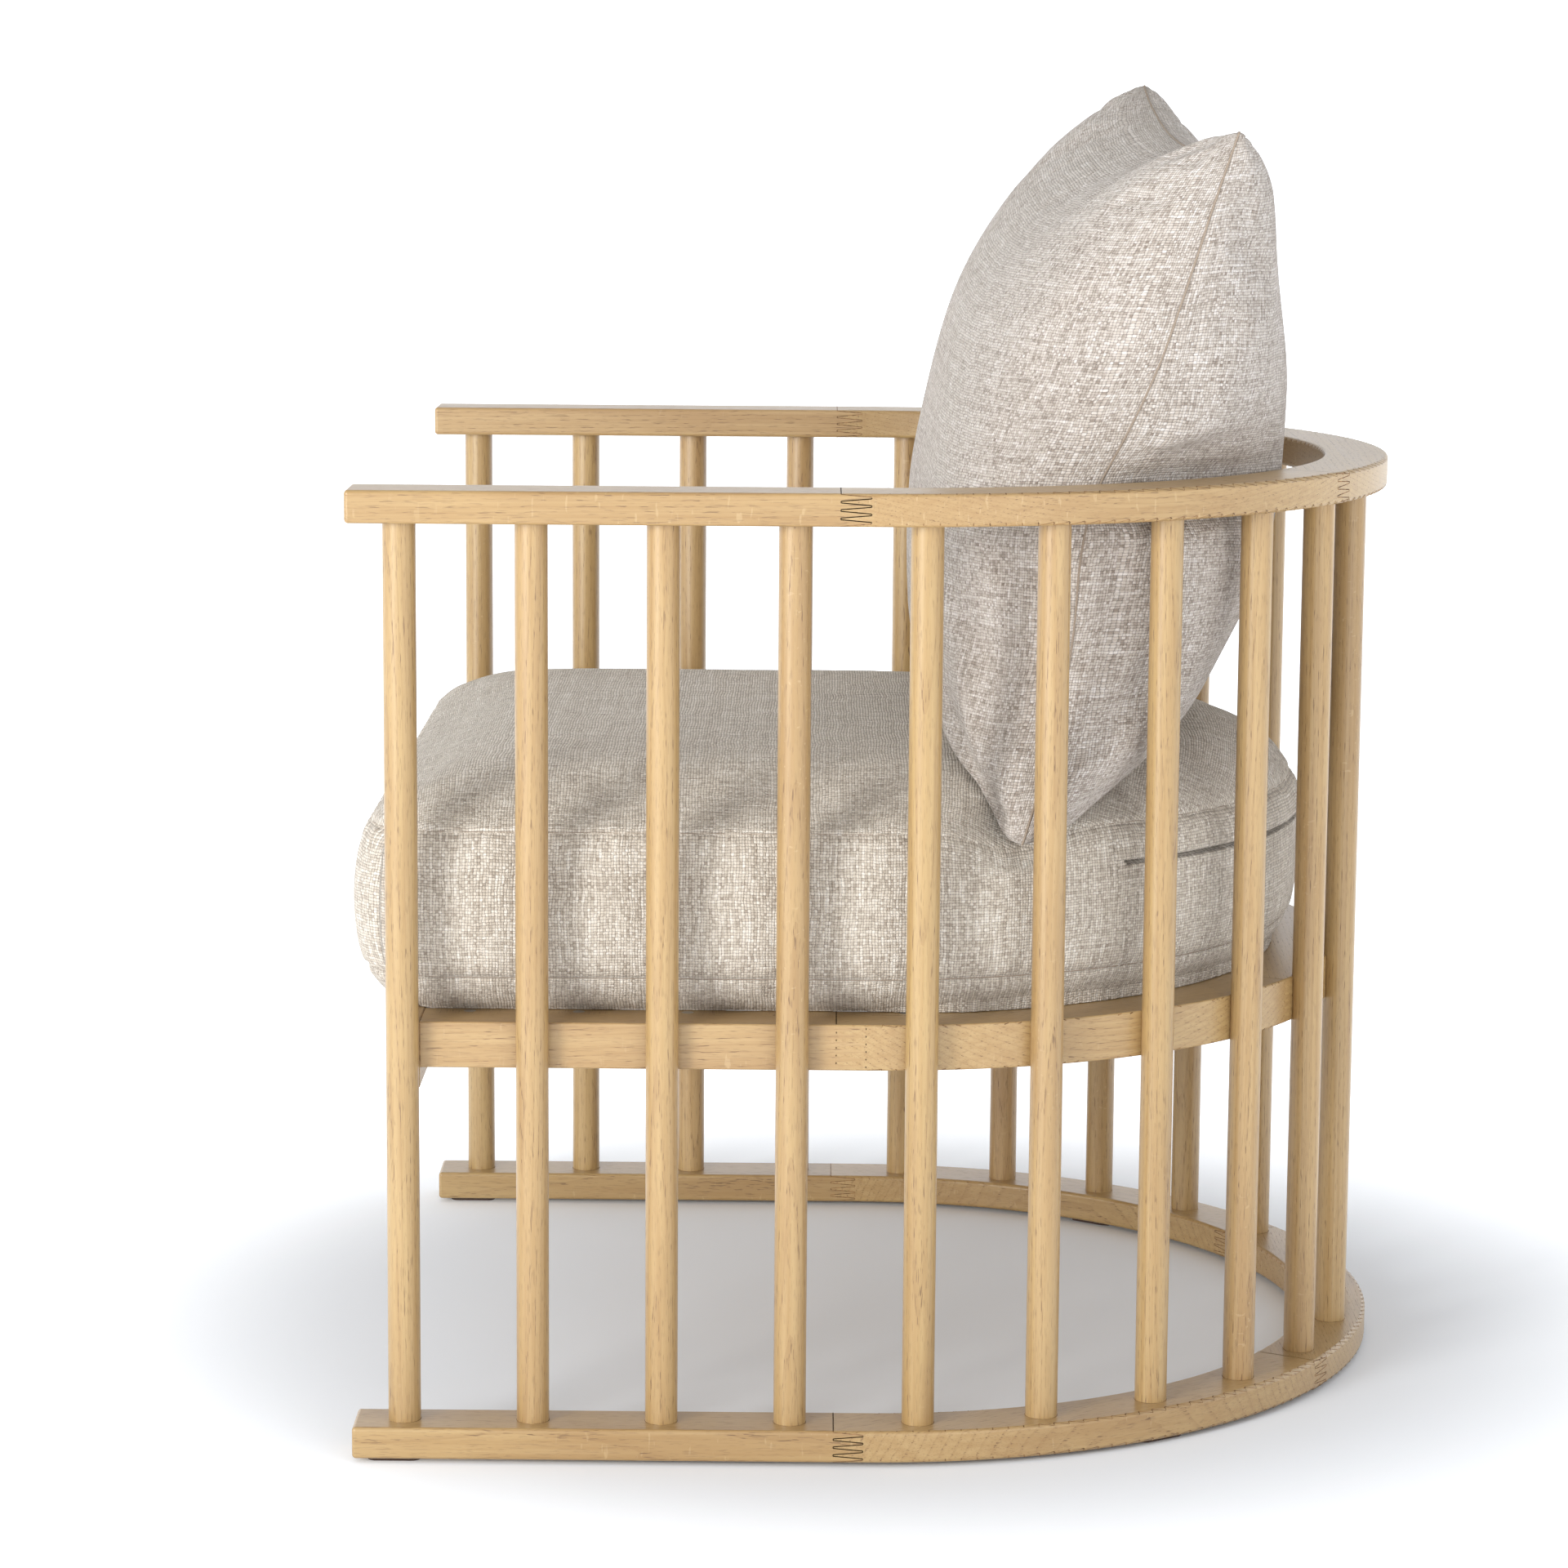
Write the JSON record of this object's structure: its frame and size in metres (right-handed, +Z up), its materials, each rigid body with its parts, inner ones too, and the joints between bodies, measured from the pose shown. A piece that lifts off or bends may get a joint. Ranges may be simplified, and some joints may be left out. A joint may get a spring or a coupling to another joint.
{
  "type": "wooden armchair",
  "caption": "Tub armchair: U-shaped oak top and floor rails joined by round spindles, with a slatted seat, boxed seat cushion and loose back pillow.",
  "frame": {"origin": "on the floor, under the middle of the bounding box", "axes": "+Z up, the sitter faces -Y, +X to the side that is nearer in the picture"},
  "size_m": [0.758, 0.725, 0.9215],
  "materials": {
    "oak": "natural oak, matte clear lacquer",
    "slat_wood": "planed, unlacquered",
    "dowel_wood": "fluted beech, glued in",
    "screw_steel": "zinc plated",
    "felt": "dark brown pressed felt",
    "weave": "oatmeal basket weave with slubs",
    "filling": "foam and fibre",
    "zip_tape": "woven tape with a nylon coil",
    "zip_metal": "dull nickel"
  },
  "bodies": {
    "frame": {"base_rail_back": "oak", "base_rail_left_arm": "oak", "base_rail_left_curve": "oak", "base_rail_right_arm": "oak", "base_rail_right_curve": "oak", "floor_pad_front_left": "felt", "floor_pad_front_right": "felt", "floor_pad_rear_left": "felt", "floor_pad_rear_right": "felt", "frame_screws": "screw_steel", "front_rail": "oak", "front_rail_dowels": "dowel_wood", "seat_rail_back": "oak", "seat_rail_left": "oak", "seat_rail_left_curve": "oak", "seat_rail_right": "oak", "seat_rail_right_curve": "oak", "seat_slat_1": "slat_wood", "seat_slat_2": "slat_wood", "seat_slat_3": "slat_wood", "seat_slat_4": "slat_wood", "seat_slat_5": "slat_wood", "seat_slat_6": "slat_wood", "seat_slat_7": "slat_wood", "seat_slat_8": "slat_wood", "slat_screws": "screw_steel", "spindle_01": "oak", "spindle_02": "oak", "spindle_03": "oak", "spindle_04": "oak", "spindle_05": "oak", "spindle_06": "oak", "spindle_07": "oak", "spindle_08": "oak", "spindle_09": "oak", "spindle_10": "oak", "spindle_11": "oak", "spindle_12": "oak", "spindle_13": "oak", "spindle_14": "oak", "spindle_15": "oak", "spindle_16": "oak", "spindle_17": "oak", "spindle_18": "oak", "spindle_19": "oak", "spindle_20": "oak", "spindle_21": "oak", "top_rail_back": "oak", "top_rail_left_arm": "oak", "top_rail_left_curve": "oak", "top_rail_right_arm": "oak", "top_rail_right_curve": "oak"},
    "seat_cushion": {"seat_cushion_cover": "weave", "seat_cushion_core": "filling", "seat_cushion_zip": "zip_tape"},
    "zip_slider": {"zip_slider": "zip_metal"},
    "back_pillow": {"back_pillow_cover": "weave", "back_pillow_insert": "filling"}
  },
  "joints": [
    {"name": "seat_cushion_lift", "type": "slide", "parent": "frame", "child": "seat_cushion", "axis": [0, 0, 1], "range_m": [0, 0.37]},
    {"name": "zip_run", "type": "hinge", "parent": "seat_cushion", "child": "zip_slider", "pos_m": [0, -0.0285, 0.407], "axis": [0, 0, 1], "range_deg": [-104, 0]},
    {"name": "back_pillow_lift", "type": "slide", "parent": "seat_cushion", "child": "back_pillow", "axis": [0, 0, 1], "range_m": [0, 0.3]}
  ]
}
